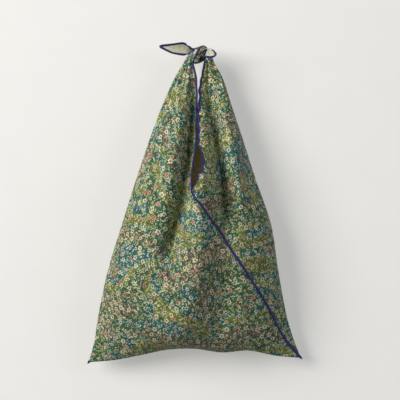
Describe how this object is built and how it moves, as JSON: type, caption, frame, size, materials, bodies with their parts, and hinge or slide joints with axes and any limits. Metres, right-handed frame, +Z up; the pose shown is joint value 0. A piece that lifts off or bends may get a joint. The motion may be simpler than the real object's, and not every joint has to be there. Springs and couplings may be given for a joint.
{
  "type": "azuma bag",
  "caption": "Soft bag folded and sewn from one strip of printed cotton, overlocked at its raw edges and hung by its knotted corners.",
  "frame": {"origin": "where the nail or peg bears, under the knot and between the two handles", "axes": "+Z up, +X to the right of someone who faces the bag, +Y towards the wall behind it"},
  "size_m": [0.3861, 0.1229, 0.5791],
  "materials": {
    "printed_lawn": "matt printed cotton lawn, fine plain weave, paler on the reverse",
    "purple_thread": "overlock thread, tight and slightly shiny"
  },
  "bodies": {
    "root": {"bag_cloth": "printed_lawn", "edging_long_front": "purple_thread", "edging_short_front": "purple_thread", "edging_long_back": "purple_thread", "edging_short_back": "purple_thread", "edging_left_tail": "purple_thread", "edging_right_tail": "purple_thread"}
  },
  "joints": []
}
